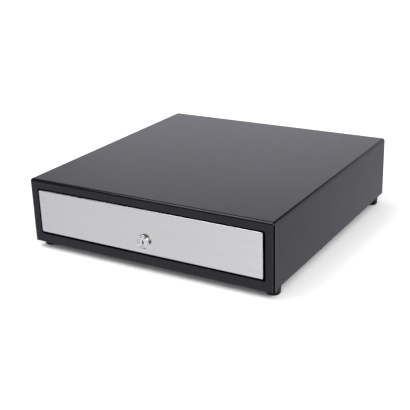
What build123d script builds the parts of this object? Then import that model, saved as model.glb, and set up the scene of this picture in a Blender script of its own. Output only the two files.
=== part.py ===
from build123d import *
import os

# Cash drawer: a sheet-steel case on four rubber feet, and one drawer that rolls out of its front.
# Millimetres. +X is to the right, +Y towards the back, +Z up. While a piece is being made, Y is
# counted from the case's front face; save() then moves it so that the origin is at the bottom
# centre of the whole object.

# ---------------------------------------------------------------- driving dimensions
CASE_W = 410.0
CASE_D = 420.0
CASE_H = 100.0
FOOT_DROP = 11.5  # case front's lower edge above the floor
SHEET = 1.2  # case sheet thickness
BEND_R = 4.2  # outer radius of the case's bends
LOCK_PROUD = 5.0  # lock face in front of the case's front face
SCREW_PROUD = 1.8  # rear screw heads behind the case's back face
TRAVEL = 320.0  # how far the drawer slides out

HALF_W = CASE_W / 2
BOTTOM = FOOT_DROP
TOP = FOOT_DROP + CASE_H
FRONT_Y = LOCK_PROUD - (CASE_D + LOCK_PROUD + SCREW_PROUD) / 2

# case
FRAME_BAR = 14.0  # width of the frame round the front opening
OPENING_R = 3.0
LIP_D = 7.0  # depth of the folded lip round the front opening
SKIRT_D = 10.8  # depth of the return under the front frame
PLATE_Z = 13.8  # underside of the base plate
WALL_Z = PLATE_Z + SHEET  # underside of the side walls' folded flanges
FLANGE_X = 187.0  # inner edge of those flanges
OPEN_X = HALF_W - FRAME_BAR
OPEN_LOW = BOTTOM + FRAME_BAR
OPEN_HIGH = TOP - FRAME_BAR
BASE_FLANGE_TOP = 27.0  # top of the base plate's upturned rear flange
PLATE_EDGE = 1.0  # base plate inset from the side walls' outer faces
BASE_SCREW_X = 196.0
KEEPER_GAP = 0.8  # clearance between the lock's cam and the keeper in front of it
KEEPER_X = 12.0

# feet
FOOT_X = HALF_W - 13.0
FOOT_Y = 22.3
FOOT_TOP_R = 11.0
FOOT_LOW_R = 10.0
FOOT_EDGE_R = 2.4
FOOT_SCREW_R = 2.0
FOOT_SCREW_TOP = 19.0
FOOT_HEAD_R = 3.8
FOOT_HEAD_LOW = 3.6
FOOT_HEAD_HIGH = 6.4
FOOT_RECESS_R = 4.6

# drawer front and tray
PANEL_T = 1.2
PANEL_PROUD = 0.9
PANEL_X = OPEN_X - 2.7
PANEL_LOW = OPEN_LOW + 3.3
PANEL_HIGH = OPEN_HIGH - 1.9
PANEL_R = 2.4
PANEL_EDGE_R = 0.9
TRAY_T = 1.0
TRAY_X = 178.0
TRAY_FRONT = 1.7
TRAY_BACK = 380.0
TRAY_LOW = 27.5
TRAY_FLOOR = TRAY_LOW + TRAY_T
TRAY_TOP = 90.0
RIM_W = 5.0  # tray's turned-out rim
RIM_FRONT = 10.0
STUD_X = (60.0, 150.0)  # fascia's weld studs, each side of the centre
STUD_Z = (40.0, 80.0)
NUT_R = 3.2
NUT_T = 2.4
LOCK_BAY = 33.0  # depth of the folded front channel that holds the lock

# rails and rollers
RAIL_WEB = 190.5  # outer face of the rail's upright web
RAIL_IN = 180.0  # inner edge of the rail's flanges
RAIL_FLOOR = 30.0  # surface that the drawer's rollers run on
RAIL_ROOM = 18.6  # clear height inside the rail
RAIL_FRONT = 14.0
RAIL_BACK = 405.0
RAIL_FOOT_W = 12.0
RAIL_TAB_X = 184.5  # inner edge of the stop tab
ROLLER_W = 7.0
ROLLER_IN = 180.7
CASE_ROLLER_R = 8.0
CASE_ROLLER_Y = 26.0
DRAWER_ROLLER_R = 9.0
DRAWER_ROLLER_Y = 366.0
ROLL_GAP = 0.1
AXLE_R = 2.5
AXLE_GAP = 0.08
AXLE_HEAD = 0.8
CASE_AXLE_X = 179.7  # inner end of the case rollers' axles
DRAWER_AXLE_X = 188.6  # outer end of the drawer rollers' axles
RUNNER_Z = 46.6  # underside of the runner's flange

# lock
LOCK_Z = 47.5
LOCK_BEZEL_R = 10.8
LOCK_FACE_R = 8.1  # raised face inside the bezel's groove
LOCK_GROOVE = 1.9  # depth of that groove
BARREL_R = 9.5
BARREL_FLAT = 8.0
BARREL_BACK = 22.0
PLUG_R = 6.0
PLUG_GAP = 0.06
PLUG_RECESS = 0.6  # plug's face behind the lock's face
CAM_Y = 24.3
CAM_T = 2.0
CAM_REACH = 26.0

# latch, solenoid, kick-out spring, switch
PIVOT_Y = 396.6
PIVOT_Z = 30.0
STRIKE_Y = 390.5
STRIKE_Z = 36.0
STRIKE_R = 2.5
COIL_Y = 404.5
LINK_Z = 28.18
RELEASE_ANGLE = 25.0  # hook's swing from holding the strike pin to clear of it
PLUNGER_LIFT = 3.51
YOKE_LOW = 44.0
YOKE_HIGH = 76.0
WALL_Y = 415.6  # front face of the mechanism bracket's upright
BRACKET_T = 1.5
EJECT_X = -45.0
EJECT_Z = 46.0
EJECT_PIN_R = 2.5
CAP_R = 7.0
CAP_FRONT = TRAY_BACK + 0.4
CAP_LENGTH = 20.0
SWITCH_X = (18.0, 38.0)
SWITCH_Z = (40.0, 50.3)
SWITCH_PIVOT_X = 19.5
SWITCH_PIVOT_Y = 382.9
SWITCH_FRONT = 384.2
SWITCH_BACK = 390.6
BRACKET_X = (-62.0, 44.0)
JACK_X = -110.0
JACK_Z = 36.0
JACK_HALF_W = 8.0
JACK_HALF_H = 7.0
HARNESS_R = 1.8

# till
TILL_X = 175.5
TILL_FRONT = 34.5
TILL_BACK = 377.5
TILL_LOW = TRAY_FLOOR + 0.2
TILL_TOP = 84.0
TILL_WALL = 2.2
BAYS = 5
CROSS_Y = 151.0  # wall between the coin bay and the bill bays
CROSS_T = 3.0
SHELF_Y = 345.0  # front of the raised shelf behind the bill bays
SHELF_TOP = 62.0
DIVIDER_T = 2.0
GROOVE = 1.2
ROD_Y = 358.0
ROD_Z = 70.0
ROD_R = 2.0
CLIP_REACH = 78.0
CLIP_DROP = 35.0
CLIP_HALF = 13.0
WIRE_R = 1.1

M3_R = 1.5
M3_HEAD_R = 3.0
M3_HEAD = 1.6
HOLE_GAP = 0.15
SIDES = (("left", -1), ("right", 1))


# ---------------------------------------------------------------- shape helpers
def block(x, y, z):
    """A box between two x, two y and two z values."""
    size = [high - low for low, high in (x, y, z)]
    middle = [(low + high) / 2 for low, high in (x, y, z)]
    return Pos(*middle) * Box(*size)


def along_x(radius, x, y, z):
    return Pos(sum(x) / 2, y, z) * Rot(0, 90, 0) * Cylinder(radius, x[1] - x[0])


def along_y(radius, x, y, z):
    return Pos(x, sum(y) / 2, z) * Rot(90, 0, 0) * Cylinder(radius, y[1] - y[0])


def along_z(radius, x, y, z):
    return Pos(x, y, sum(z) / 2) * Cylinder(radius, z[1] - z[0])


def rounded_slab(half_x, z, y, radius):
    """A slab standing across Y, with its four corners rounded."""
    slab = block((-half_x, half_x), y, z)
    return fillet(slab.edges().filter_by(Axis.Y), radius)


def profile_x(points, x):
    """A plate cut to an outline of (y, z) points, from x[0] to x[1]."""
    outline = Polyline(*[(x[0], y, z) for y, z in points], close=True)
    return extrude(make_face(outline), x[1] - x[0], dir=(1, 0, 0))


def profile_y(points, y):
    """A bar whose section is an outline of (x, z) points, from y[0] to y[1]."""
    outline = Polyline(*[(x, y[0], z) for x, z in points], close=True)
    return extrude(make_face(outline), y[1] - y[0], dir=(0, 1, 0))


def profile_z(points, z):
    """A plate cut to an outline of (x, y) points, from z[0] to z[1]."""
    outline = Polyline(*[(x, y, z[0]) for x, y in points], close=True)
    return extrude(make_face(outline), z[1] - z[0], dir=(0, 0, 1))


def cut_all(shape, tools):
    for tool in tools:
        shape = shape - tool
    return shape


def add_all(shape, tools):
    for tool in tools:
        shape = shape + tool
    return shape


def save(node, *solids):
    """Writes one node's solids as a STEP file, in the object's own frame."""
    moved = [Pos(0, FRONT_Y, 0) * solid for solid in solids]
    export_step(Compound(children=moved) if len(moved) > 1 else moved[0], f"parts/{node}.step")


# ---------------------------------------------------------------- shared places
FOOT_PLACES = [
    (f"{end}_{name}", sign * FOOT_X, y)
    for end, y in (("front", FOOT_Y), ("rear", CASE_D - FOOT_Y))
    for name, sign in SIDES
]
BASE_SCREWS = [(sign * BASE_SCREW_X, y) for _, sign in SIDES for y in (75.0, 165.0, 255.0, 345.0)]
BRACKET_SCREWS = [(-54.0, 404.0), (-24.0, 404.0), (28.0, 404.0)]
REAR_SCREWS = [(x, TOP - 7.0) for x in (-150.0, -50.0, 50.0, 150.0)]
REAR_SCREWS += [(sign * BASE_SCREW_X, 62.0) for _, sign in SIDES]
REAR_SCREWS += [(x, 20.5) for x in (-150.0, -75.0, 75.0, 150.0)]
BAY_PITCH = (2 * (TILL_X - TILL_WALL) + DIVIDER_T) / BAYS
BAY_CENTRES = [BAY_PITCH * (i - (BAYS - 1) / 2) for i in range(BAYS)]
DIVIDER_PLACES = [BAY_PITCH * (i - BAYS / 2) for i in range(1, BAYS)]
CUP_PITCH = 2 * (TILL_X - TILL_WALL) / BAYS
CUP_CENTRES = [CUP_PITCH * (i - (BAYS - 1) / 2) for i in range(BAYS)]


# ---------------------------------------------------------------- case
def case_shell():
    """Top, two sides and front frame in one welded sheet, with folded flanges at back and bottom."""
    outer = block((-HALF_W, HALF_W), (0, CASE_D), (BOTTOM, TOP))
    outer = fillet(outer.edges().filter_by(Axis.Z) + outer.edges().group_by(Axis.Z)[-1], BEND_R)
    inner = block(
        (SHEET - HALF_W, HALF_W - SHEET), (SHEET, CASE_D - SHEET), (WALL_Z + SHEET, TOP - SHEET)
    )
    inner = fillet(
        inner.edges().filter_by(Axis.Z) + inner.edges().group_by(Axis.Z)[-1], BEND_R - SHEET
    )
    skirt = block(
        (SHEET - HALF_W, HALF_W - SHEET), (SHEET, SKIRT_D), (BOTTOM + SHEET, WALL_Z + 3 * SHEET)
    )
    skirt = fillet(skirt.edges().filter_by(Axis.Z).group_by(Axis.Y)[0], BEND_R - SHEET)
    opening = rounded_slab(OPEN_X, (OPEN_LOW, OPEN_HIGH), (-1, LIP_D + 1), OPENING_R)
    lip = rounded_slab(
        OPEN_X + SHEET, (OPEN_LOW - SHEET, OPEN_HIGH + SHEET), (SHEET / 2, LIP_D), OPENING_R + SHEET
    )
    rear = (CASE_D - 3 * SHEET, CASE_D + 1)
    shell = cut_all(
        outer,
        [
            block((-HALF_W - 1, HALF_W + 1), (SKIRT_D, CASE_D + 1), (BOTTOM - 1, WALL_Z)),
            inner,
            skirt,
            block((-FLANGE_X, FLANGE_X), (SKIRT_D, CASE_D + 1), (BOTTOM, WALL_Z + 2 * SHEET)),
            block((-FLANGE_X, FLANGE_X), rear, (BOTTOM, BASE_FLANGE_TOP + 1)),
            rounded_slab(OPEN_X, (BASE_FLANGE_TOP, OPEN_HIGH), rear, OPENING_R),
        ],
    )
    shell = shell + lip - opening
    edge = shell.edges().filter_by(lambda e: abs(e.center().Y) < 1e-6)
    edge = edge.filter_by(lambda e: OPEN_LOW - 0.1 < e.center().Z < OPEN_HIGH + 0.1)
    edge = edge.filter_by(lambda e: abs(e.center().X) < OPEN_X + 0.1)
    shell = fillet(edge, SHEET * 0.8)
    hole = SHEET * 4
    holes = [
        along_z(FOOT_SCREW_R + HOLE_GAP, x, y, (WALL_Z - hole, WALL_Z + hole))
        for _, x, y in FOOT_PLACES
    ]
    holes += [along_z(M3_R + HOLE_GAP, x, y, (WALL_Z - 1, WALL_Z + hole)) for x, y in BASE_SCREWS]
    holes += [along_y(M3_R + HOLE_GAP, x, rear, z) for x, z in REAR_SCREWS if z > BASE_FLANGE_TOP]
    return cut_all(shell, holes)


def base_plate():
    """Bottom of the case, with an upturned flange at the back and the keeper for the lock's cam."""
    half = HALF_W - PLATE_EDGE
    plate = block((-half, half), (SKIRT_D + 0.5, CASE_D), (PLATE_Z, WALL_Z))
    plate = fillet(plate.edges().filter_by(Axis.Z).group_by(Axis.Y)[-1], BEND_R)
    flange_x = FLANGE_X - 0.3
    plate += block((-flange_x, flange_x), (CASE_D - SHEET, CASE_D), (PLATE_Z, BASE_FLANGE_TOP - 0.3))
    keeper_y = CAM_Y - KEEPER_GAP
    keeper = block((-KEEPER_X, KEEPER_X), (keeper_y - SHEET, keeper_y), (PLATE_Z, 24.5))
    plate += fillet(keeper.edges().filter_by(Axis.Y).group_by(Axis.Z)[-1], 3)
    through = (PLATE_Z - 1, WALL_Z + 1)
    holes = [along_z(FOOT_SCREW_R + HOLE_GAP, x, y, through) for _, x, y in FOOT_PLACES]
    holes += [along_z(M3_R + HOLE_GAP, x, y, through) for x, y in BASE_SCREWS + BRACKET_SCREWS]
    back = (CASE_D - 2 * SHEET, CASE_D + 1)
    holes += [along_y(M3_R + HOLE_GAP, x, back, z) for x, z in REAR_SCREWS if z < BASE_FLANGE_TOP]
    release = block((-5, 5), (PIVOT_Y - 6, PIVOT_Y + 10), through)
    holes.append(fillet(release.edges().filter_by(Axis.Z), 3))
    holes.append(block((-KEEPER_X, KEEPER_X), (keeper_y, CAM_Y + 8), through))
    return cut_all(plate, holes)


def rear_panel():
    """Plate that closes the back, inside the shell's rear flanges."""
    half = HALF_W - BEND_R - 0.2
    y = (CASE_D - 2 * SHEET, CASE_D - SHEET)
    panel = block((-half, half), y, (WALL_Z + SHEET + 0.3, TOP - BEND_R - 0.2))
    panel = fillet(panel.edges().filter_by(Axis.Y).group_by(Axis.Z)[-1], 2.0)
    through = (y[0] - 1, y[1] + 1)
    cuts = [along_y(M3_R + HOLE_GAP, x, through, z) for x, z in REAR_SCREWS]
    room_x, room_z = JACK_HALF_W + 0.3, JACK_HALF_H + 0.3
    cuts.append(block((JACK_X - room_x, JACK_X + room_x), through, (JACK_Z - room_z, JACK_Z + room_z)))
    return cut_all(panel, cuts)


def foot(x, y):
    """Tapered rubber foot with a recess for its screw."""
    body = Pos(x, y, PLATE_Z / 2) * Rot(180, 0, 0) * Cone(FOOT_TOP_R, FOOT_LOW_R, PLATE_Z)
    body = fillet(body.edges().group_by(Axis.Z)[0], FOOT_EDGE_R)
    recess = along_z(FOOT_RECESS_R, x, y, (-1, FOOT_HEAD_HIGH + 0.1))
    return body - recess - along_z(FOOT_SCREW_R + HOLE_GAP, x, y, (0, PLATE_Z + 1))


def foot_screw(x, y):
    head = along_z(FOOT_HEAD_R, x, y, (FOOT_HEAD_LOW, FOOT_HEAD_HIGH))
    head = fillet(head.edges().group_by(Axis.Z)[0], 1.2)
    slot_z = (FOOT_HEAD_LOW - 1, FOOT_HEAD_LOW + 1.3)
    head -= block((x - 2.4, x + 2.4), (y - 0.5, y + 0.5), slot_z)
    head -= block((x - 0.5, x + 0.5), (y - 2.4, y + 2.4), slot_z)
    return head + along_z(FOOT_SCREW_R, x, y, (FOOT_HEAD_HIGH, FOOT_SCREW_TOP))


def pan_screw(shank):
    """M3 pan head screw along +Z, its head's underside at the origin, with a cross recess."""
    head = along_z(M3_HEAD_R, 0, 0, (-M3_HEAD, 0))
    head = fillet(head.edges().group_by(Axis.Z)[0], 0.9)
    head -= block((-1.7, 1.7), (-0.35, 0.35), (-3, -0.8))
    head -= block((-0.35, 0.35), (-1.7, 1.7), (-3, -0.8))
    return head + along_z(M3_R, 0, 0, (0, shank))


def case_screws():
    up = pan_screw(5.0)
    screws = [Pos(x, y, PLATE_Z) * up for x, y in BASE_SCREWS + BRACKET_SCREWS]
    rear = Rot(90, 0, 0) * pan_screw(3.6)
    return screws + [Pos(x, CASE_D, z) * rear for x, z in REAR_SCREWS]


def rail(sign):
    """Channel that the drawer rolls in, with a foot flange and a stop tab."""
    low, high = RAIL_FLOOR - SHEET, RAIL_FLOOR + RAIL_ROOM + SHEET
    foot_z = WALL_Z + SHEET
    web_in = RAIL_WEB - SHEET
    section = [
        (RAIL_WEB + RAIL_FOOT_W, foot_z),
        (RAIL_WEB + RAIL_FOOT_W, foot_z + SHEET),
        (RAIL_WEB, foot_z + SHEET),
        (RAIL_WEB, high),
        (RAIL_IN, high),
        (RAIL_IN, high - SHEET),
        (web_in, high - SHEET),
        (web_in, RAIL_FLOOR),
        (RAIL_IN, RAIL_FLOOR),
        (RAIL_IN, low),
        (web_in, low),
        (web_in, foot_z),
    ]
    bar = profile_y([(sign * x, z) for x, z in section], (RAIL_FRONT, RAIL_BACK))
    stop_y = DRAWER_ROLLER_Y - TRAVEL - DRAWER_ROLLER_R - 0.4
    tab = sorted((sign * RAIL_TAB_X, sign * (web_in + 0.1)))
    bar += block(tab, (stop_y - SHEET, stop_y), (RAIL_FLOOR - 0.1, RAIL_FLOOR + 10))
    through = (foot_z - 1, foot_z + 3)
    feet = [(x, y) for _, x, y in FOOT_PLACES if x * sign > 0]
    screws = [(x, y) for x, y in BASE_SCREWS if x * sign > 0]
    holes = [along_z(FOOT_SCREW_R + HOLE_GAP, x, y, through) for x, y in feet]
    holes += [along_z(M3_R + HOLE_GAP, x, y, through) for x, y in screws]
    web = sorted((sign * (web_in - 1), sign * (RAIL_WEB + 1)))
    holes.append(along_x(AXLE_R + AXLE_GAP, web, CASE_ROLLER_Y, case_roller_z()))
    return cut_all(bar, holes)


def case_roller_z():
    return RUNNER_Z - ROLL_GAP - CASE_ROLLER_R


def drawer_roller_z():
    return RAIL_FLOOR + ROLL_GAP + DRAWER_ROLLER_R


def roller(sign, radius, y, z):
    """Moulded roller with a dished face on each side and a rounded tread."""
    x = sorted((sign * ROLLER_IN, sign * (ROLLER_IN + ROLLER_W)))
    wheel = along_x(radius, x, y, z)
    wheel = fillet(wheel.edges().filter_by(GeomType.CIRCLE), 0.8)
    dish = along_x(radius - 2.2, (0, 1.6), y, z) - along_x(AXLE_R + 2.2, (0, 1.6), y, z)
    wheel -= Pos(x[0] - 0.4, 0, 0) * dish
    wheel -= Pos(x[1] - 1.2, 0, 0) * dish
    return wheel - along_x(AXLE_R + AXLE_GAP, (x[0] - 1, x[1] + 1), y, z)


def axle(sign, inner, outer, y, z, head_out):
    """Shoulder rivet that a roller turns on. Its head is at the end away from its mount."""
    x = sorted((sign * inner, sign * outer))
    pin = along_x(AXLE_R, x, y, z)
    tip = outer if head_out else inner
    step = -AXLE_HEAD if head_out else AXLE_HEAD
    head_x = sorted((sign * tip, sign * (tip + step)))
    return pin + along_x(AXLE_R + 1.4, head_x, y, z)


# ---------------------------------------------------------------- drawer
def barrel_hole(y):
    """Hole for the lock's barrel: round, with two flats that stop it turning."""
    radius, flat = BARREL_R + 0.1, BARREL_FLAT + 0.1
    return along_y(radius, 0, y, LOCK_Z) & block((-radius, radius), y, (LOCK_Z - flat, LOCK_Z + flat))


def front_panel():
    """Brushed stainless fascia with softened edges."""
    y = (-PANEL_PROUD, PANEL_T - PANEL_PROUD)
    panel = rounded_slab(PANEL_X, (PANEL_LOW, PANEL_HIGH), y, PANEL_R)
    panel = fillet(panel.faces().sort_by(Axis.Y)[0].outer_wire().edges(), PANEL_EDGE_R)
    return panel - barrel_hole((y[0] - 1, y[1] + 1))


def drawer_front():
    """Folded steel channel behind the fascia: it stiffens the tray and makes the lock's bay."""
    y0 = PANEL_T - PANEL_PROUD
    half, low, high = PANEL_X - 0.6, PANEL_LOW + 0.6, PANEL_HIGH - 0.6
    t = SHEET
    front = rounded_slab(half, (low, high), (y0, 8.0), PANEL_R - 0.6)
    hollow = rounded_slab(half - t, (low + t, high - t), (y0 + t, 9.0), PANEL_R - 0.6 - t)
    front -= hollow
    gap_x = TRAY_X + 0.3
    front -= block((-gap_x, gap_x), (y0 + t, 9.0), (low - 1, low + t + 1))
    inner = TRAY_X - TRAY_T - 0.3
    roof_z = TRAY_TOP - 0.5
    roof = block((-inner, inner), (y0, LOCK_BAY), (roof_z - t, roof_z))
    wall = block((-inner, inner), (LOCK_BAY - t, LOCK_BAY), (TRAY_FLOOR, roof_z))
    channel = fillet((roof + wall).edges().filter_by(Axis.X).group_by(Axis.Z)[-1].sort_by(Axis.Y)[-1], t)
    return front + channel - barrel_hole((y0 - 1, y0 + t + 1))


def panel_nuts():
    """Nuts on the fascia's weld studs, inside the front channel."""
    seat = PANEL_T - PANEL_PROUD + SHEET
    hexagon = Rot(90, 0, 0) * extrude(RegularPolygon(NUT_R, 6), NUT_T)
    places = [(sign * x, z) for _, sign in SIDES for x in STUD_X for z in STUD_Z]
    return [
        Pos(x, seat + NUT_T, z) * hexagon + along_y(M3_R, x, (seat, seat + 5), z) for x, z in places
    ]


def drawer_tray():
    """Folded box: floor, sides and back, with a turned-out rim on the sides."""
    t = TRAY_T
    floor = block((-TRAY_X, TRAY_X), (TRAY_FRONT, TRAY_BACK), (TRAY_LOW, TRAY_FLOOR))
    parts = [block((-TRAY_X, TRAY_X), (TRAY_BACK - t, TRAY_BACK), (TRAY_LOW, TRAY_TOP))]
    for _, sign in SIDES:
        wall = sorted((sign * (TRAY_X - t), sign * TRAY_X))
        rim = sorted((sign * (TRAY_X - t), sign * (TRAY_X + RIM_W)))
        parts.append(block(wall, (TRAY_FRONT, TRAY_BACK), (TRAY_LOW, TRAY_TOP)))
        parts.append(block(rim, (RIM_FRONT, TRAY_BACK), (TRAY_TOP - t, TRAY_TOP)))
    tray = add_all(floor, parts)
    corners = tray.edges().filter_by(Axis.Y).filter_by(
        lambda e: abs(e.center().Z - TRAY_LOW) < 1e-6 and abs(abs(e.center().X) - TRAY_X) < 1e-6
    )
    tray = fillet(corners, 0.9)
    sweep = block((-7, 23), (CAM_Y - 1, CAM_Y + CAM_T + 3), (TRAY_LOW - 1, TRAY_FLOOR + 1))
    whole = (-TRAY_X - 1, TRAY_X + 1)
    axles = along_x(AXLE_R + AXLE_GAP, whole, DRAWER_ROLLER_Y, drawer_roller_z())
    return cut_all(tray, [sweep, axles])


def runner(sign):
    """Angle on the tray's side that rides on the case's roller."""
    web = TRAY_X + SHEET
    section = [
        (TRAY_X, RUNNER_Z - 9),
        (web, RUNNER_Z - 9),
        (web, RUNNER_Z),
        (RAIL_WEB - SHEET - 1.0, RUNNER_Z),
        (RAIL_WEB - SHEET - 1.0, RUNNER_Z + SHEET),
        (TRAY_X, RUNNER_Z + SHEET),
    ]
    back = DRAWER_ROLLER_Y - DRAWER_ROLLER_R - 4
    return profile_y([(sign * x, z) for x, z in section], (RIM_FRONT, back))


def striker_bracket():
    """Two ears on the tray's back that hold the latch's strike pin."""
    y = (TRAY_BACK, STRIKE_Y + 4.5)
    z = (TRAY_FLOOR, STRIKE_Z + 6)
    ears = [block(x, y, z) for x in ((-8.5, -7.0), (7.0, 8.5))]
    ears = [fillet(ear.edges().filter_by(Axis.X).group_by(Axis.Y)[-1], 4) for ear in ears]
    tabs = [block(x, (TRAY_BACK, TRAY_BACK + 1.5), z) for x in ((-20, -7.0), (7.0, 20))]
    bracket = Compound(children=[ears[0] + tabs[0], ears[1] + tabs[1]])
    tie = block((-20, 20), (TRAY_BACK, TRAY_BACK + 1.5), (z[1] - 3, z[1] + 3))
    return tie + bracket - along_x(STRIKE_R + 0.05, (-12, 12), STRIKE_Y, STRIKE_Z)


# ---------------------------------------------------------------- lock
def lock_housing():
    """Bezel with a round rim, a groove and a raised face, on a threaded barrel with two flats."""
    face = -LOCK_PROUD
    back = -PANEL_PROUD
    r = LOCK_BEZEL_R
    groove = face + LOCK_GROOVE
    outline = [
        Line((0, back), (r, back)),
        Line((r, back), (r, face + 1.2)),
        ThreePointArc((r, face + 1.2), (r - 0.6, face + 0.5), (r - 1.2, face + 1.2)),
        Line((r - 1.2, face + 1.2), (r - 1.6, groove)),
        Line((r - 1.6, groove), (LOCK_FACE_R + 0.4, groove)),
        Line((LOCK_FACE_R + 0.4, groove), (LOCK_FACE_R, face + 0.7)),
        ThreePointArc((LOCK_FACE_R, face + 0.7), (LOCK_FACE_R - 0.2, face + 0.2), (LOCK_FACE_R - 0.7, face)),
        Line((LOCK_FACE_R - 0.7, face), (0, face)),
        Line((0, face), (0, back)),
    ]
    bezel = Pos(0, 0, LOCK_Z) * revolve(make_face(Wire(outline)), Axis.Y, 360)
    barrel = along_y(BARREL_R, 0, (back, BARREL_BACK), LOCK_Z)
    barrel &= block((-20, 20), (back, BARREL_BACK), (LOCK_Z - BARREL_FLAT, LOCK_Z + BARREL_FLAT))
    thread = [(2.2 + 1.6 * i, 2.9 + 1.6 * i) for i in range(11)]
    grooves = [along_y(BARREL_R + 1, 0, y, LOCK_Z) - along_y(BARREL_R - 0.5, 0, y, LOCK_Z) for y in thread]
    body = cut_all(bezel + barrel, grooves)
    return body - along_y(PLUG_R + PLUG_GAP, 0, (face - 1, BARREL_BACK + 1), LOCK_Z)


def lock_nut():
    y0 = PANEL_T - PANEL_PROUD + SHEET
    hexagon = extrude(RegularPolygon(12.2, 6, major_radius=False), 4.0)
    nut = Pos(0, y0 + 4.0, LOCK_Z) * Rot(90, 0, 0) * hexagon
    return nut - along_y(BARREL_R + 0.1, 0, (y0 - 1, y0 + 5), LOCK_Z)


def lock_plug():
    """Turning core with a keyway, and a squared tail for the cam."""
    face = PLUG_RECESS - LOCK_PROUD
    plug = along_y(PLUG_R, 0, (face, CAM_Y), LOCK_Z)
    plug = fillet(plug.edges().group_by(Axis.Y)[0], 0.5)
    tail = block((-3.4, 3.4), (CAM_Y, CAM_Y + CAM_T), (LOCK_Z - 3.4, LOCK_Z + 3.4))
    keyway = block((-0.85, 0.85), (face - 1, 14), (LOCK_Z - 3.3, LOCK_Z + 3.3))
    ward = block((-0.1, 1.9), (face - 1, 14), (LOCK_Z - 1.7, LOCK_Z + 1.5))
    keyhole = fillet((keyway + ward).edges().filter_by(Axis.Y).group_by(Axis.Z)[-1], 0.6)
    return plug + tail - keyhole - along_y(1.6, 0, (CAM_Y - 5, CAM_Y + CAM_T + 1), LOCK_Z)


def lock_cam():
    """Flat tongue that points sideways when unlocked and down behind the keeper when locked."""
    y = (CAM_Y, CAM_Y + CAM_T)
    tongue = block((0, CAM_REACH), y, (LOCK_Z - 5, LOCK_Z + 5))
    tongue = fillet(tongue.edges().filter_by(Axis.Y).group_by(Axis.X)[-1], 3)
    cam = tongue + along_y(8, 0, y, LOCK_Z)
    return cam - block((-3.5, 3.5), (y[0] - 1, y[1] + 1), (LOCK_Z - 3.5, LOCK_Z + 3.5))


def cam_screw():
    screw = Pos(0, CAM_Y + CAM_T + 0.05, LOCK_Z) * Rot(90, 0, 0) * pan_screw(6.0)
    washer_y = (CAM_Y + CAM_T + 0.02, CAM_Y + CAM_T + 0.05)
    return screw + along_y(M3_HEAD_R, 0, washer_y, LOCK_Z)


# ---------------------------------------------------------------- latch and solenoid
def latch_bracket():
    """Foot, upright and ears that carry the latch, the solenoid, the kick-out spring and the switch."""
    foot_z = (WALL_Z, WALL_Z + BRACKET_T)
    wall = (WALL_Y, WALL_Y + BRACKET_T)
    foot_plate = block(BRACKET_X, (392, wall[1]), foot_z) + block((15, 41), (386, 393), foot_z)
    low_wall = block(BRACKET_X, wall, (foot_z[0], 58))
    high_wall = block((-15, 15), wall, (foot_z[0], YOKE_HIGH + 4))
    ear_y, ear_z = (PIVOT_Y - 3.0, PIVOT_Y + 3.6), (foot_z[0], PIVOT_Z + 4)
    ears = [block(x, ear_y, ear_z) for x in ((-4, -2.5), (2.5, 4))]
    switch_y = (SWITCH_BACK, SWITCH_BACK + BRACKET_T)
    holder = block(SWITCH_X, switch_y, (foot_z[0], SWITCH_Z[1] + 1))
    bracket = add_all(foot_plate, [low_wall, high_wall, holder] + ears)
    cuts = [block((-2.5, 2.5), (PIVOT_Y - 8, PIVOT_Y + 13), (foot_z[0] - 1, foot_z[1] + 1))]
    cuts.append(along_x(2.05, (-5, 5), PIVOT_Y, PIVOT_Z))
    cuts.append(along_y(EJECT_PIN_R + 0.05, EJECT_X, (WALL_Y - 1, WALL_Y + 2), EJECT_Z))
    through = (foot_z[0] - 1, foot_z[1] + 1)
    cuts += [along_z(M3_R + HOLE_GAP, x, y, through) for x, y in BRACKET_SCREWS]
    return cut_all(bracket, cuts)


def latch_hook():
    """Lever that holds the strike pin from below, swung clear of it by the solenoid."""
    x = (-1.5, 1.5)
    tooth = [(383.6, 31.0), (383.6, 37.0), (384.4, 38.0), (386.4, 38.0), (387.5, 36.4), (387.5, 33.0)]
    arm = [(392.0, 32.6), (396.6, 34.6), (396.6, 25.6), (391.0, 26.6), (385.6, 29.2)]
    plate = profile_x(tooth + arm, x)
    plate += along_x(4.6, x, PIVOT_Y, PIVOT_Z)
    tail = [(-2.6, PIVOT_Z), (2.6, PIVOT_Z), (1.8, 18.5), (-1.8, 18.5)]
    plate += profile_x([(PIVOT_Y + y, z) for y, z in tail], x)
    arm_front = [(PIVOT_Y, PIVOT_Z - 4), (PIVOT_Y, PIVOT_Z + 4)]
    arm_back = [(COIL_Y, LINK_Z + 3.1), (COIL_Y, LINK_Z - 3.1)]
    plate += profile_x(arm_front + arm_back, x)
    plate += along_x(3.1, x, COIL_Y, LINK_Z)
    plate -= along_x(2.06, (-2, 2), PIVOT_Y, PIVOT_Z)
    plate -= along_x(1.65, (-2, 2), COIL_Y, LINK_Z)
    swing = Pos(0, PIVOT_Y, PIVOT_Z) * Rot(RELEASE_ANGLE, 0, 0) * Pos(0, -PIVOT_Y, -PIVOT_Z)
    return swing * plate


def solenoid_plunger():
    """Steel armature, pulled in, with a slotted end, its link pin and its spring collar."""
    body = along_z(4.0, 0, COIL_Y, (24.0, 66.0))
    body = fillet(body.edges().group_by(Axis.Z)[-1], 0.6)
    body -= block((-1.7, 1.7), (COIL_Y - 5, COIL_Y + 5), (23, 34.0))
    collar = along_z(6.0, 0, COIL_Y, (35.8, 37.0))
    plunger = body + collar + along_x(1.25, (-4.4, 4.4), COIL_Y, LINK_Z)
    return Pos(0, 0, PLUNGER_LIFT) * plunger


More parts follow.
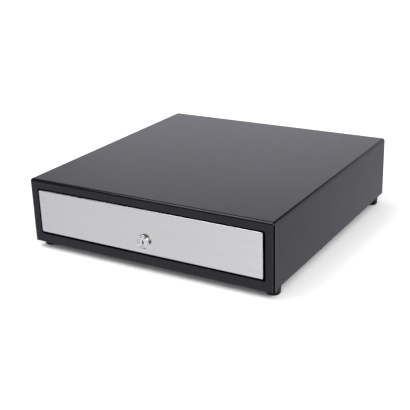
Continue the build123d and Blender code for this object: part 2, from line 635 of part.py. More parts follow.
def solenoid_yoke():
    half, t = 13.0, 2.0
    back = WALL_Y - 0.02
    y = (COIL_Y - 9.5, back)
    bottom = block((-half, half), y, (YOKE_LOW, YOKE_LOW + t))
    top = block((-half, half), y, (YOKE_HIGH - t, YOKE_HIGH))
    web = block((-half, half), (back - t, back), (YOKE_LOW, YOKE_HIGH))
    return bottom + top + web - along_z(4.6, 0, COIL_Y, (YOKE_LOW - 1, YOKE_LOW + t + 1))


def solenoid_bobbin():
    low, high = YOKE_LOW + 2.1, YOKE_HIGH - 2.1
    tube = along_z(5.2, 0, COIL_Y, (low, high))
    tube += along_z(8.9, 0, COIL_Y, (low, low + 1.6))
    tube += along_z(8.9, 0, COIL_Y, (high - 1.6, high))
    tube += block((-14.5, -7.0), (COIL_Y - 4, COIL_Y + 4), (low, low + 1.6))
    tube += block((-17.5, -13.1), (COIL_Y - 4, COIL_Y + 4), (low, low + 7))
    return tube - along_z(4.35, 0, COIL_Y, (low - 1, high - 1.6))


def solenoid_winding():
    low, high = YOKE_LOW + 3.8, YOKE_HIGH - 3.8
    return along_z(8.5, 0, COIL_Y, (low, high)) - along_z(5.25, 0, COIL_Y, (low, high))


def plunger_spring():
    """Return spring, squeezed by the lifted plunger, as the sleeve that its coils fill."""
    z = (37.1 + PLUNGER_LIFT, YOKE_LOW - 0.1)
    return along_z(5.5, 0, COIL_Y, z) - along_z(4.3, 0, COIL_Y, z)


# ---------------------------------------------------------------- kick-out spring, switch, socket
def ejector_pin():
    pin = along_y(EJECT_PIN_R, EJECT_X, (CAP_FRONT + 2.5, WALL_Y + BRACKET_T), EJECT_Z)
    return fillet(pin.edges().group_by(Axis.Y)[0], 0.6)


def ejector_cap():
    cap = along_y(CAP_R, EJECT_X, (CAP_FRONT, CAP_FRONT + CAP_LENGTH), EJECT_Z)
    cap = fillet(cap.edges().group_by(Axis.Y)[0], 1.5)
    return cap - along_y(EJECT_PIN_R + 0.08, EJECT_X, (CAP_FRONT + 2, CAP_FRONT + 30), EJECT_Z)


def ejector_spring():
    """Kick-out spring while the drawer is shut, as the sleeve that its coils fill."""
    y = (CAP_FRONT + CAP_LENGTH + 0.1, WALL_Y - 0.1)
    return along_y(6.2, EJECT_X, y, EJECT_Z) - along_y(4.6, EJECT_X, y, EJECT_Z)


def status_switch():
    """Micro switch that reports the drawer as open or shut."""
    body = block(SWITCH_X, (SWITCH_FRONT, SWITCH_BACK), SWITCH_Z)
    body = fillet(body.edges().filter_by(Axis.Y), 0.6)
    body += block((28, 30), (SWITCH_FRONT - 0.8, SWITCH_FRONT + 0.1), (44.2, 46.2))
    blade_z = (SWITCH_Z[0] - 4, SWITCH_Z[0] + 1)
    blades = [block((x - 1.4, x + 1.4), (387, 387.6), blade_z) for x in (21, 28, 35)]
    pivot = along_z(0.6, SWITCH_PIVOT_X, SWITCH_PIVOT_Y, (43, 48))
    ear_y = (SWITCH_PIVOT_Y - 0.9, SWITCH_FRONT + 0.1)
    ears = [block((18.6, 20.4), ear_y, z) for z in ((42.2, 43.2), (47.8, 48.8))]
    return add_all(body, blades + ears + [pivot])


def switch_lever():
    """Leaf that the tray's back holds in while the drawer is shut."""
    leaf = profile_z([(20.3, 382.6), (20.3, 383.0), (39.5, 381.5), (39.5, 381.1)], (43.5, 47.5))
    knuckle = along_z(1.05, SWITCH_PIVOT_X, SWITCH_PIVOT_Y, (43.5, 47.5))
    return leaf + knuckle - along_z(0.66, SWITCH_PIVOT_X, SWITCH_PIVOT_Y, (43, 48))


def interface_jack():
    """Modular socket for the cable from a till printer."""
    x = (JACK_X - JACK_HALF_W, JACK_X + JACK_HALF_W)
    body = block(x, (405, CASE_D + 0.8), (JACK_Z - JACK_HALF_H, JACK_Z + JACK_HALF_H))
    body = fillet(body.edges().filter_by(Axis.Y), 0.8)
    port = block((JACK_X - 5, JACK_X + 5), (408.5, CASE_D + 2), (JACK_Z - 3.6, JACK_Z + 3.6))
    notch = block((JACK_X - 3.1, JACK_X + 3.1), (410.5, CASE_D + 2), (JACK_Z - 5.6, JACK_Z))
    return body - port - notch


def wire_harness():
    """Lead from the socket to the coil's terminals."""
    start_x = JACK_X + JACK_HALF_W + 0.05
    points = [
        (start_x, 410.5, JACK_Z),
        (start_x + 16, 410.5, JACK_Z),
        (start_x + 16, 410.5, 22.0),
        (-36.0, 410.5, 22.0),
        (-30.0, COIL_Y, 49.6),
        (-17.55, COIL_Y, 49.6),
    ]
    route = FilletPolyline(*points, radius=5)
    section = Plane(origin=points[0], z_dir=route % 0) * Circle(HARNESS_R)
    return sweep(section, path=route)


# ---------------------------------------------------------------- till
def till_body():
    """Moulded insert: coin bay in front, bill bays behind, and a shelf that carries the clips' rod."""
    wall = TILL_WALL
    till = block((-TILL_X, TILL_X), (TILL_FRONT, TILL_BACK), (TILL_LOW, TILL_TOP))
    till = fillet(till.edges().filter_by(Axis.Z), 4)
    inner_x = TILL_X - wall
    floor = TILL_LOW + wall
    high = TILL_TOP + 1
    coin_bay = block((-inner_x, inner_x), (TILL_FRONT + wall, CROSS_Y), (floor, high))
    bill_bay = block((-inner_x, inner_x), (CROSS_Y + CROSS_T, SHELF_Y), (floor, high))
    rear_bay = block((-inner_x, inner_x), (SHELF_Y - 1, TILL_BACK - wall), (SHELF_TOP, high))
    coin_bay, bill_bay = (fillet(bay.edges().filter_by(Axis.Z), 2) for bay in (coin_bay, bill_bay))
    under = block((-inner_x, inner_x), (SHELF_Y + wall, TILL_BACK - wall), (TILL_LOW - 1, SHELF_TOP - wall))
    till = cut_all(till, [coin_bay, bill_bay, rear_bay, under])
    post_z = (SHELF_TOP - 0.1, ROD_Z + 4.5)
    ends = [-inner_x + 1.4, inner_x - 1.4]
    posts = []
    for x in DIVIDER_PLACES + ends:
        post = block((x - 1.5, x + 1.5), (ROD_Y - 5, ROD_Y + 5), post_z)
        posts.append(fillet(post.edges().filter_by(Axis.X).group_by(Axis.Z)[-1], 3))
    till = add_all(till, posts)
    slots = [
        block(
            (x - DIVIDER_T / 2 - 0.15, x + DIVIDER_T / 2 + 0.15),
            (CROSS_Y + CROSS_T - GROOVE, SHELF_Y + GROOVE),
            (floor, high),
        )
        for x in DIVIDER_PLACES
    ]
    ramp = [
        (CROSS_Y - 1, TILL_TOP - 7),
        (CROSS_Y + CROSS_T + 1, TILL_TOP - 7),
        (CROSS_Y + CROSS_T + 1, high),
        (CROSS_Y - 1, high),
    ]
    slots.append(profile_x(ramp, (-inner_x, inner_x)))
    slots.append(along_x(ROD_R + 0.1, (-inner_x, inner_x), ROD_Y, ROD_Z))
    return cut_all(till, slots)


def bill_divider(x):
    """Removable plate between two bill bays."""
    half = DIVIDER_T / 2
    y = (CROSS_Y + CROSS_T - GROOVE + 0.2, SHELF_Y + GROOVE - 0.2)
    plate = block((x - half, x + half), y, (TILL_LOW + TILL_WALL + 0.1, TILL_TOP - 8))
    plate = fillet(plate.edges().filter_by(Axis.X).group_by(Axis.Z)[-1].sort_by(Axis.Y)[0], 12)
    back = block((x - half - 1, x + half + 1), (SHELF_Y - 0.3, y[1] + 1), (SHELF_TOP - 0.2, TILL_TOP))
    return plate - back


def coin_cup(x):
    """Removable cup with a scooped floor and a rim."""
    half = CUP_PITCH / 2 - 0.4
    y = (TILL_FRONT + TILL_WALL + 0.5, CROSS_Y - 0.5)
    z = (TILL_LOW + TILL_WALL + 0.2, TILL_TOP - 9)
    wall = 1.6
    cup = block((x - half, x + half), y, z)
    cup = fillet(cup.edges().filter_by(Axis.Z), 5)
    hollow = block((x - half + wall, x + half - wall), (y[0] + wall, y[1] - wall), (z[0] + wall, z[1] + 1))
    hollow = fillet(hollow.edges().filter_by(Axis.Z), 3.4)
    return cup - hollow + cup_scoop(x, half - wall + 0.1, y[0] + wall, z[0] + wall)


def cup_scoop(x, half, front, floor):
    """Curved ramp at the cup's front, so that coins slide up under a fingertip."""
    r = 26.0
    wedge = block((x - half, x + half), (front - 0.1, front + r), (floor - 0.1, floor + r))
    return wedge - along_x(r, (x - half - 1, x + half + 1), front + r, floor + r)


def clip_rod():
    end = TILL_X - TILL_WALL - 0.2
    return along_x(ROD_R, (-end, end), ROD_Y, ROD_Z)


def clip_spring(x):
    """Torsion spring on the rod, as the sleeve that its coils fill."""
    span = (x - 9, x + 9)
    return along_x(3.7, span, ROD_Y, ROD_Z) - along_x(2.4, span, ROD_Y, ROD_Z)


def bill_clip(x):
    """Wire arm with an eye at each side on the rod, and a moulded pad at its front end."""
    front_y, front_z = ROD_Y - CLIP_REACH, ROD_Z - CLIP_DROP
    start_y, start_z = ROD_Y - 3.2, ROD_Z - 0.6
    route = FilletPolyline(
        (x - CLIP_HALF, start_y, start_z),
        (x - CLIP_HALF, front_y, front_z),
        (x + CLIP_HALF, front_y, front_z),
        (x + CLIP_HALF, start_y, start_z),
        radius=6,
    )
    section = Plane(origin=route @ 0, z_dir=route % 0) * Circle(WIRE_R)
    wire = sweep(section, path=route)
    for side in (x - CLIP_HALF, x + CLIP_HALF):
        span = (side - WIRE_R - 0.3, side + WIRE_R + 0.3)
        wire += along_x(ROD_R + 0.08 + 2 * WIRE_R, span, ROD_Y, ROD_Z)
        wire -= along_x(ROD_R + 0.08, (side - 3, side + 3), ROD_Y, ROD_Z)
    return wire, clip_pad(x, front_y, front_z)


def clip_pad(x, y, z):
    low = z - WIRE_R - 1.82
    pad = block((x - 17, x + 17), (y - 7, y + 4), (low, low + 1.8))
    return fillet(pad.edges().filter_by(Axis.Z), 3)


# ---------------------------------------------------------------- write every node
def write_case():
    save("case_shell", case_shell())
    save("base_plate", base_plate())
    save("rear_panel", rear_panel())
    for name, x, y in FOOT_PLACES:
        save(f"foot_{name}", foot(x, y))
    save("foot_screws", *[foot_screw(x, y) for _, x, y in FOOT_PLACES])
    save("case_screws", *case_screws())
    for name, sign in SIDES:
        save(f"rail_{name}", rail(sign))
        save(f"case_roller_{name}", roller(sign, CASE_ROLLER_R, CASE_ROLLER_Y, case_roller_z()))
    place = (CASE_ROLLER_Y, case_roller_z())
    save("case_roller_axles", *[axle(sign, CASE_AXLE_X, RAIL_WEB, *place, False) for _, sign in SIDES])


def write_drawer():
    save("front_panel", front_panel())
    save("drawer_front", drawer_front())
    save("panel_nuts", *panel_nuts())
    save("drawer_tray", drawer_tray())
    place = (DRAWER_ROLLER_Y, drawer_roller_z())
    for name, sign in SIDES:
        save(f"runner_{name}", runner(sign))
        save(f"drawer_roller_{name}", roller(sign, DRAWER_ROLLER_R, *place))
    inner = TRAY_X - TRAY_T
    save("drawer_roller_axles", *[axle(sign, inner, DRAWER_AXLE_X, *place, True) for _, sign in SIDES])
    save("striker_bracket", striker_bracket())
    save("striker_pin", along_x(STRIKE_R, (-10, 10), STRIKE_Y, STRIKE_Z))


def write_lock():
    save("lock_housing", lock_housing())
    save("lock_nut", lock_nut())
    save("lock_plug", lock_plug())
    save("lock_cam", lock_cam())
    save("cam_screw", cam_screw())


def write_mechanism():
    save("latch_bracket", latch_bracket())
    save("latch_hook", latch_hook())
    save("latch_pivot_pin", along_x(2.0, (-5, 5), PIVOT_Y, PIVOT_Z))
    save("solenoid_plunger", solenoid_plunger())
    save("solenoid_yoke", solenoid_yoke())
    save("solenoid_bobbin", solenoid_bobbin())
    save("solenoid_winding", solenoid_winding())
    save("plunger_spring", plunger_spring())
    save("ejector_pin", ejector_pin())
    save("ejector_cap", ejector_cap())
    save("ejector_spring", ejector_spring())
    save("status_switch", status_switch())
    save("switch_lever", switch_lever())
    save("interface_jack", interface_jack())
    save("wire_harness", wire_harness())


def write_till():
    save("till_body", till_body())
    save("bill_dividers", *[bill_divider(x) for x in DIVIDER_PLACES])
    save("clip_rod", clip_rod())
    save("clip_springs", *[clip_spring(x) for x in BAY_CENTRES])
    for number, x in enumerate(CUP_CENTRES, 1):
        save(f"coin_cup_{number}", coin_cup(x))
    for number, x in enumerate(BAY_CENTRES, 1):
        save(f"bill_clip_{number}", *bill_clip(x))


os.makedirs("parts", exist_ok=True)
write_case()
write_drawer()
write_lock()
write_mechanism()
write_till()
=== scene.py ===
import math

import bmesh
import bpy
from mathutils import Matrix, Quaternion, Vector


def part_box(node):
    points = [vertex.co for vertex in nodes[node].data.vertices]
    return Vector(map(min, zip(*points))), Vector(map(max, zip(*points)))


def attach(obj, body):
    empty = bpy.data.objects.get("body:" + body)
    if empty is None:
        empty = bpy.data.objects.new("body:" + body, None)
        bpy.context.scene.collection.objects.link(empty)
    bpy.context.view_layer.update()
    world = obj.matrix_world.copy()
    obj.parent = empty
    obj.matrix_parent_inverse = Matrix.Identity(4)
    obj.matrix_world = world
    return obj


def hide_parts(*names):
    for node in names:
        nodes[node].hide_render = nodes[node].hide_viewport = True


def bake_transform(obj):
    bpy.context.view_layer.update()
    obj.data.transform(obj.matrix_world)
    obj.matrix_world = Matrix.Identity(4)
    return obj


# Looks of the cash drawer: materials for every CAD node, wound springs in place of the CAD sleeves,
# socket contacts, a floor, soft light and the camera. Metres, in the CAD model's own frame.

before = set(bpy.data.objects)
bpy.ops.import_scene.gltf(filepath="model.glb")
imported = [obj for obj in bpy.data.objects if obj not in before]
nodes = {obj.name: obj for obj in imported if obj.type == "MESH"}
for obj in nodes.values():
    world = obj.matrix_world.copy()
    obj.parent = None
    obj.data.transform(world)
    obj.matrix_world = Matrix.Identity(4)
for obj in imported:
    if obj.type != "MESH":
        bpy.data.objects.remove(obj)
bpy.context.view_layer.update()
scene = bpy.context.scene

# Light on matt surfaces, and what glossy ones reflect: a ring of cards low down, another above the
# horizon, and a dim ceiling with a skylight in it. A card is (degrees from the back towards the
# right, brightness).
EVEN_LIGHT = 1.08
CARD_TINT = (1.0, 0.98, 1.065)
LOW_CARDS = [
    (-180, 1.35), (-168, 1.45), (-154, 0.78), (-140, 0.78), (-120, 0.55), (-60, 0.8), (0, 0.7),
    (30, 0.56), (44, 1.9), (70, 1.9), (82, 0.04), (146, 0.04), (164, 1.4), (180, 1.35),
]
HIGH_CARDS = [
    (-180, 0.2), (-110, 0.2), (-60, 0.4), (-45, 0.6), (-36, 0.86), (-26, 0.92),
    (-15, 0.84), (60, 0.8), (110, 0.1), (180, 0.2),
]
CEILING_LIGHT = 0.02
SKYLIGHT = 0.5

# Heights between which one zone fades into the next, from -1 straight down to 1 straight up.
HORIZON = (-0.03, 0.03)
CEILING_EDGE = (0.4, 0.46)
SKYLIGHT_EDGE = (0.8, 0.9)

# Camera that took the photograph: place in metres, angles in degrees.
CAMERA_PLACE = (0.64985, -1.11725, 0.52515)
AZIMUTH, ELEVATION, ROLL = 31.067, 20.913, -1.908
LENS = 75.03

# Wire radii of the wound springs, and sizes on the CAD nodes that they are fitted to.
PLUNGER_WIRE = 0.00033
KICKOUT_WIRE = 0.0007
CLIP_WIRE = 0.00045
CLIP_SPRING_REACH = 0.009  # from the middle of a clip to each end of its spring
PAD_T = 0.00183  # moulded pad under a clip's wire
KEYWAY_REACH = 0.0045  # from the plug's axis to just past the keyway's ends
KEYWAY_DEPTH = 0.0006  # anything deeper than this behind the plug's face is the keyway's own wall
CONTACT_PITCH = 0.00127
CONTACT_WIRE = 0.0002
SOCKET_ROOF = 0.0036  # thickness over the socket's opening

# ---------------------------------------------------------------- material helpers
class Shader:
    """One Principled material and the nodes that feed it, in object coordinates."""

    def __init__(self, name, colour, roughness, metallic=0.0):
        self.material = bpy.data.materials.new(name)
        self.material.use_nodes = True
        self.tree = self.material.node_tree
        self.bsdf = self.tree.nodes["Principled BSDF"]
        self.colour = (*colour, 1.0)
        self.bsdf.inputs["Base Color"].default_value = self.colour
        self.bsdf.inputs["Roughness"].default_value = roughness
        self.bsdf.inputs["Metallic"].default_value = metallic
        self.coordinates = self.tree.nodes.new("ShaderNodeTexCoord").outputs["Object"]

    def link(self, output, target):
        self.tree.links.new(output, target)

    def stretched(self, scale):
        mapping = self.tree.nodes.new("ShaderNodeMapping")
        mapping.inputs["Scale"].default_value = scale
        self.link(self.coordinates, mapping.inputs["Vector"])
        return mapping.outputs["Vector"]

    def noise(self, scale, detail=3.0, rough=0.5, stretch=(1, 1, 1)):
        texture = self.tree.nodes.new("ShaderNodeTexNoise")
        texture.inputs["Scale"].default_value = scale
        texture.inputs["Detail"].default_value = detail
        texture.inputs["Roughness"].default_value = rough
        self.link(self.stretched(stretch), texture.inputs["Vector"])
        return texture.outputs["Fac"]

    def spread(self, value, low, high, start=0.3, end=0.7):
        """Maps a 0 to 1 pattern to a range of values."""
        node = self.tree.nodes.new("ShaderNodeMapRange")
        node.inputs["From Min"].default_value = start
        node.inputs["From Max"].default_value = end
        node.inputs["To Min"].default_value = low
        node.inputs["To Max"].default_value = high
        self.link(value, node.inputs["Value"])
        return node.outputs["Result"]

    def tint(self, value, first, second):
        """Colours the surface from one colour to another by a pattern."""
        ramp = self.tree.nodes.new("ShaderNodeValToRGB")
        ramp.color_ramp.elements[0].position = 0.3
        ramp.color_ramp.elements[1].position = 0.7
        ramp.color_ramp.elements[0].color = (*first, 1.0)
        ramp.color_ramp.elements[1].color = (*second, 1.0)
        self.link(value, ramp.inputs["Fac"])
        self.link(ramp.outputs["Color"], self.bsdf.inputs["Base Color"])

    def rough(self, value, low, high):
        self.link(self.spread(value, low, high), self.bsdf.inputs["Roughness"])

    def bump(self, value, distance, strength=1.0):
        """Raises the surface by a pattern. Bumps are chained when there is more than one."""
        node = self.tree.nodes.new("ShaderNodeBump")
        node.inputs["Distance"].default_value = distance
        node.inputs["Strength"].default_value = strength
        self.link(value, node.inputs["Height"])
        before = self.bsdf.inputs["Normal"].links
        if before:
            self.link(before[0].from_socket, node.inputs["Normal"])
        self.link(node.outputs["Normal"], self.bsdf.inputs["Normal"])


def powder_coat():
    """Satin slate-black powder coat: fine orange peel, faint cloudiness in its gloss."""
    paint = Shader("powder_coat", (0.003, 0.0027, 0.0055), 0.2)
    paint.tint(paint.noise(9, 2), (0.0027, 0.0024, 0.005), (0.0033, 0.003, 0.006))
    paint.rough(paint.noise(60, 4), 0.18, 0.22)
    paint.bsdf.inputs["IOR"].default_value = 1.42
    paint.bump(paint.noise(650, 2), 0.00002, 0.3)
    return paint.material


def brushed_stainless():
    """Stainless sheet brushed from side to side."""
    steel = Shader("brushed_stainless", (0.64, 0.635, 0.645), 0.3, 1.0)
    lines = steel.noise(1, 4, 0.6, (14, 2600, 2600))
    steel.tint(lines, (0.715, 0.717, 0.687), (0.785, 0.787, 0.757))
    steel.rough(lines, 0.22, 0.3)
    steel.bump(lines, 0.000006, 0.3)
    return steel.material


def plated(name, colour, low, high, scale=55):
    """Plated or machined metal with faint mottling and fine scratches."""
    metal = Shader(name, colour, low, 1.0)
    cloud = metal.noise(scale, 4)
    darker = tuple(c * 0.86 for c in colour)
    metal.tint(cloud, darker, colour)
    metal.rough(metal.noise(scale * 3, 4), low, high)
    metal.bump(metal.noise(1, 3, 0.5, (120, 900, 900)), 0.000004, 0.25)
    return metal.material


def moulded(name, colour, low, high, grain, depth, specular=0.5):
    """Moulded plastic or rubber with a fine eroded grain."""
    plastic = Shader(name, colour, low)
    plastic.bsdf.inputs["Specular IOR Level"].default_value = specular
    lighter = tuple(c * 1.25 for c in colour)
    plastic.tint(plastic.noise(30, 3), colour, lighter)
    plastic.rough(plastic.noise(grain * 0.4, 3), low, high)
    plastic.bump(plastic.noise(grain, 3), depth, 0.5)
    return plastic.material


def winding_tape():
    """Amber tape wrapped over enamelled wire, whose turns show through as fine rings."""
    tape = Shader("winding_tape", (0.42, 0.22, 0.04), 0.25)
    wave = tape.tree.nodes.new("ShaderNodeTexWave")
    wave.bands_direction = "Z"
    wave.inputs["Scale"].default_value = 320
    wave.inputs["Distortion"].default_value = 0.6
    tape.link(tape.coordinates, wave.inputs["Vector"])
    tape.tint(wave.outputs["Fac"], (0.33, 0.15, 0.02), (0.5, 0.27, 0.05))
    tape.bump(wave.outputs["Fac"], 0.00008, 0.5)
    tape.bsdf.inputs["Coat Weight"].default_value = 0.6
    return tape.material


POWDER = powder_coat()
STAINLESS = brushed_stainless()
ZINC = plated("zinc_plate", (0.66, 0.67, 0.66), 0.3, 0.46)
STEEL = plated("bright_steel", (0.62, 0.61, 0.6), 0.2, 0.32, 90)
CHROME = plated("lock_chrome", (0.9, 0.89, 0.87), 0.06, 0.12, 140)
BLACK_OXIDE = plated("black_oxide", (0.06, 0.06, 0.065), 0.35, 0.5, 90)
CONTACT = plated("gold_contact", (0.85, 0.62, 0.25), 0.15, 0.25, 200)
RUBBER = moulded("foot_rubber", (0.003, 0.003, 0.0032), 0.5, 0.65, 900, 0.00003, specular=0.2)
TILL_ABS = moulded("till_abs", (0.012, 0.012, 0.013), 0.36, 0.5, 1400, 0.00002)
CUP_ABS = moulded("cup_abs", (0.022, 0.022, 0.024), 0.33, 0.46, 1400, 0.00002)
# Black phenolic of the status switch; the same finish also paints shade into the lock plug's keyway.
PHENOLIC_AND_KEYWAY_SHADE = moulded("switch_phenolic_and_keyway_shade", (0.012, 0.012, 0.012), 0.25, 0.35, 1200, 0.00001)
NYLON = moulded("acetal_white", (0.66, 0.65, 0.6), 0.38, 0.5, 900, 0.00001)
SHEATH = moulded("pvc_sheath", (0.012, 0.012, 0.013), 0.3, 0.42, 700, 0.00002)
TAPE = winding_tape()

FINISHES = [
    (POWDER, ["case_shell", "base_plate", "rear_panel", "drawer_front", "drawer_tray"]),
    (STAINLESS, ["front_panel"]),
    (ZINC, ["rail_left", "rail_right", "runner_left", "runner_right", "latch_bracket"]),
    (ZINC, ["striker_bracket", "solenoid_yoke", "panel_nuts", "lock_nut", "lock_cam"]),
    (CHROME, ["lock_housing", "lock_plug"]),
    (STEEL, ["case_roller_axles", "drawer_roller_axles", "latch_pivot_pin", "latch_hook"]),
    (STEEL, ["striker_pin", "solenoid_plunger", "ejector_pin", "clip_rod", "cam_screw"]),
    (STEEL, ["switch_lever"]),
    (RUBBER, ["foot_front_left", "foot_front_right", "foot_rear_left", "foot_rear_right"]),
    (TILL_ABS, ["till_body", "bill_dividers", "interface_jack"]),
    (CUP_ABS, [f"coin_cup_{i}" for i in range(1, 6)]),
    (NYLON, ["case_roller_left", "case_roller_right", "drawer_roller_left"]),
    (NYLON, ["drawer_roller_right", "solenoid_bobbin", "ejector_cap"]),
    (STEEL, [f"bill_clip_{i}" for i in range(1, 6)]),
    (BLACK_OXIDE, ["case_screws", "foot_screws"]),
    (TAPE, ["solenoid_winding"]),
    (PHENOLIC_AND_KEYWAY_SHADE, ["status_switch"]),
    (SHEATH, ["wire_harness"]),
]


def dress(node, material):
    slots = nodes[node].data.materials
    slots.clear()
    slots.append(material)


for finish, names in FINISHES:
    for node_name in names:
        dress(node_name, finish)


# ---------------------------------------------------------------- wound springs and other small pieces
def tube_mesh(bm, path, radius, sides=10):
    """Sweeps a circle along a path of points and closes both ends."""
    rings = []
    side = None
    for i, point in enumerate(path):
        ahead = (path[min(i + 1, len(path) - 1)] - path[max(i - 1, 0)]).normalized()
        if side is None:
            side = ahead.orthogonal().normalized()
        side = (side - ahead * side.dot(ahead)).normalized()
        across = ahead.cross(side)
        turns = [2 * math.pi * k / sides for k in range(sides)]
        ring = [point + (side * math.cos(t) + across * math.sin(t)) * radius for t in turns]
        rings.append([bm.verts.new(p) for p in ring])
    for first, second in zip(rings, rings[1:]):
        for k in range(sides):
            after = (k + 1) % sides
            bm.faces.new((first[k], first[after], second[after], second[k]))
    bm.faces.new(reversed(rings[0]))
    bm.faces.new(rings[-1])


def helix(start, end, radius, turns, closed_turns=0.8, steps=22):
    """Points of a coil wound from start to end, with flat closed turns at both ends."""
    start, end = Vector(start), Vector(end)
    axis = (end - start).normalized()
    side = axis.orthogonal().normalized()
    across = axis.cross(side)
    length = (end - start).length
    points = []
    for i in range(int(turns * steps) + 1):
        turn = i / steps
        share = (turn - closed_turns) / (turns - 2 * closed_turns)
        share = min(max(share, 0.0), 1.0)
        angle = 2 * math.pi * turn
        rim = side * math.cos(angle) + across * math.sin(angle)
        points.append(start + axis * length * share + rim * radius)
    return points


def piece(name, bm, material, body):
    mesh = bpy.data.meshes.new(name)
    bm.normal_update()
    bm.to_mesh(mesh)
    bm.free()
    for polygon in mesh.polygons:
        polygon.use_smooth = True
    mesh.materials.append(material)
    made = bpy.data.objects.new(name, mesh)
    scene.collection.objects.link(made)
    if body:
        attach(made, body)
    return made


def middle(node):
    low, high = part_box(node)
    return (low + high) / 2, low, high


def make_plunger_spring():
    centre, low, high = middle("plunger_spring")
    radius = (high.x - low.x) / 2 - PLUNGER_WIRE
    bottom = Vector((centre.x, centre.y, low.z + PLUNGER_WIRE))
    top = Vector((centre.x, centre.y, high.z - PLUNGER_WIRE))
    bm = bmesh.new()
    tube_mesh(bm, helix(top, bottom, radius, 4.6), PLUNGER_WIRE)
    spring = piece("plunger_spring_coil", bm, STEEL, None)
    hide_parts("plunger_spring")
    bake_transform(spring)


def make_kickout_spring():
    centre, low, high = middle("ejector_spring")
    radius = (high.x - low.x) / 2 - KICKOUT_WIRE
    front = Vector((centre.x, low.y + KICKOUT_WIRE, centre.z))
    back = Vector((centre.x, high.y - KICKOUT_WIRE, centre.z))
    bm = bmesh.new()
    tube_mesh(bm, helix(back, front, radius, 8.5), KICKOUT_WIRE)
    spring = piece("kickout_spring_coil", bm, STEEL, None)
    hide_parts("ejector_spring")
    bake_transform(spring)


def make_clip_springs():
    """Torsion springs on the clips' rod, one round the rod at each clip."""
    rod, low, high = middle("clip_springs")
    radius = (high.z - low.z) / 2 - CLIP_WIRE
    reach = CLIP_SPRING_REACH - CLIP_WIRE
    bm = bmesh.new()
    for number in range(1, 6):
        x = middle(f"bill_clip_{number}")[0].x
        start = (x - reach, rod.y, rod.z)
        end = (x + reach, rod.y, rod.z)
        tube_mesh(bm, helix(start, end, radius, 18, 0.3), CLIP_WIRE)
    springs = piece("clip_spring_coils", bm, STEEL, "drawer")
    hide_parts("clip_springs")


def make_socket_contacts():
    """Sprung contact wires under the roof of the modular socket."""
    centre, low, high = middle("interface_jack")
    roof = high.z - SOCKET_ROOF
    bm = bmesh.new()
    for number in range(6):
        x = centre.x + (number - 2.5) * CONTACT_PITCH
        path = [
            Vector((x, high.y - 0.0018, roof)),
            Vector((x, high.y - 0.0024, roof - 0.0004)),
            Vector((x, high.y - 0.0085, roof - 0.0026)),
            Vector((x, high.y - 0.0112, roof - 0.0030)),
        ]
        tube_mesh(bm, path, CONTACT_WIRE, 8)
    piece("socket_contacts", bm, CONTACT, "case")


def two_finishes(node, second, chosen):
    """Gives the faces of a node that chosen() picks, by their centres, a second finish."""
    mesh = nodes[node].data
    mesh.materials.append(second)
    for polygon in mesh.polygons:
        if chosen(polygon.center):
            polygon.material_index = 1


def dress_clip_pads():
    for number in range(1, 6):
        name = f"bill_clip_{number}"
        low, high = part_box(name)
        two_finishes(name, TILL_ABS, lambda c, top=low.z + PAD_T: c.z < top)


def paint_keyway_shade():
    """Painted shade: the keyway's inner faces take the near-black phenolic finish, which darkens the
    recess as shade would.
    """
    low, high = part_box("lock_plug")
    centre = (low + high) / 2

    def inside(c):
        across, up = abs(c.x - centre.x), abs(c.z - centre.z)
        return c.y > low.y + KEYWAY_DEPTH and across < KEYWAY_REACH and up < KEYWAY_REACH

    two_finishes("lock_plug", PHENOLIC_AND_KEYWAY_SHADE, inside)


make_plunger_spring()
make_kickout_spring()
make_clip_springs()
make_socket_contacts()
dress_clip_pads()
paint_keyway_shade()


# ---------------------------------------------------------------- floor, light and camera
def floor_material():
    paper = Shader("floor_paper", (0.93, 0.93, 0.93), 0.9)
    paper.tint(paper.noise(3, 2), (0.93, 0.93, 0.93), (0.945, 0.945, 0.945))
    return paper.material


def make_floor():
    mesh = bpy.data.meshes.new("floor")
    grid = bmesh.new()
    bmesh.ops.create_grid(grid, x_segments=1, y_segments=1, size=30.0)
    grid.to_mesh(mesh)
    grid.free()
    floor = bpy.data.objects.new("floor", mesh)
    scene.collection.objects.link(floor)
    mesh.materials.append(floor_material())
    floor.visible_glossy = False


def world_node(kind, **values):
    """Adds a node to the world, sets its inputs by name, or links them where a socket is given."""
    tree = scene.world.node_tree
    node = tree.nodes.new(kind)
    for name, value in values.items():
        socket = node.inputs[name.replace("_", " ")]
        if isinstance(value, bpy.types.NodeSocket):
            tree.links.new(value, socket)
        else:
            socket.default_value = value
    return node


def card_ring(bearing, cards):
    """Brightness all the way round, by bearing."""
    ring = world_node("ShaderNodeValToRGB", Fac=bearing)
    ramp = ring.color_ramp
    ramp.interpolation = "EASE"
    for degrees, light in cards:
        place = (degrees + 180) / 360
        stop = ramp.elements.new(place) if 0 < place < 1 else ramp.elements[round(place)]
        stop.color = (*(light * shade for shade in CARD_TINT), 1.0)
    return ring.outputs["Color"]


def fade(height, edges, below, above):
    """One zone below the edges, the other above them."""
    share = world_node("ShaderNodeMapRange", Value=height, From_Min=edges[0], From_Max=edges[1])
    share = share.outputs["Result"]
    return world_node("ShaderNodeMixRGB", Fac=share, Color1=below, Color2=above).outputs["Color"]


def grey(light):
    return (light, light, light, 1.0)


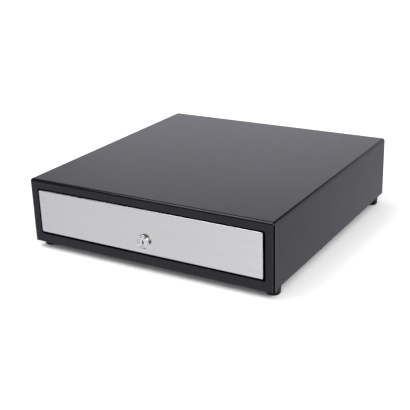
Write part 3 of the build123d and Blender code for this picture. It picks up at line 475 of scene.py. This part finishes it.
def make_world():
    """Even light on everything matt. Gloss sees white cards with gaps between, and a dim ceiling."""
    scene.world = bpy.data.worlds.new("studio")
    scene.world.use_nodes = True
    tree = scene.world.node_tree
    towards = world_node("ShaderNodeTexCoord").outputs["Generated"]
    split = world_node("ShaderNodeSeparateXYZ", Vector=towards).outputs
    angle = world_node("ShaderNodeMath")
    angle.operation = "ARCTAN2"
    tree.links.new(split["X"], angle.inputs[0])
    tree.links.new(split["Y"], angle.inputs[1])
    turn = {"From_Min": -math.pi, "From_Max": math.pi}
    bearing = world_node("ShaderNodeMapRange", Value=angle.outputs[0], **turn).outputs["Result"]
    low, high = card_ring(bearing, LOW_CARDS), card_ring(bearing, HIGH_CARDS)
    walls = fade(split["Z"], HORIZON, low, high)
    roofed = fade(split["Z"], CEILING_EDGE, walls, grey(CEILING_LIGHT))
    room = fade(split["Z"], SKYLIGHT_EDGE, roofed, grey(SKYLIGHT))
    gloss = world_node("ShaderNodeLightPath").outputs["Is Glossy Ray"]
    seen = world_node("ShaderNodeMixRGB", Fac=gloss, Color1=grey(EVEN_LIGHT), Color2=room)
    tree.links.new(seen.outputs["Color"], tree.nodes["Background"].inputs["Color"])


def make_softbox(name, place, target, size, power):
    light = bpy.data.lights.new(name, "AREA")
    light.shape = "RECTANGLE"
    light.size, light.size_y = size
    light.energy = power
    lamp = bpy.data.objects.new(name, light)
    scene.collection.objects.link(lamp)
    lamp.location = place
    aim = Vector(target) - Vector(place)
    lamp.rotation_euler = aim.to_track_quat("-Z", "Y").to_euler()


def make_camera():
    data = bpy.data.cameras.new("camera")
    data.lens = LENS
    data.sensor_width = 36.0
    data.clip_start = 0.05
    camera = bpy.data.objects.new("camera", data)
    scene.collection.objects.link(camera)
    azimuth, elevation, roll = (math.radians(v) for v in (AZIMUTH, ELEVATION, ROLL))
    level = math.cos(elevation)
    back = Vector((math.sin(azimuth) * level, -math.cos(azimuth) * level, math.sin(elevation)))
    camera.rotation_mode = "QUATERNION"
    aimed = (-back).to_track_quat("-Z", "Y")
    camera.rotation_quaternion = aimed @ Quaternion((0, 0, 1), roll)
    camera.location = CAMERA_PLACE
    scene.camera = camera


make_floor()
make_world()
make_softbox("softbox_top", (-0.95, -0.8, 2.2), (-0.95, -0.8, 0.0), (1.1, 1.5), 24.0)
make_softbox("softbox_right", (1.5, -1.3, 1.4), (0.3, -0.3, 0.0), (0.8, 0.8), 22.0)
make_camera()
scene.view_settings.view_transform = "Standard"
scene.view_settings.look = "None"
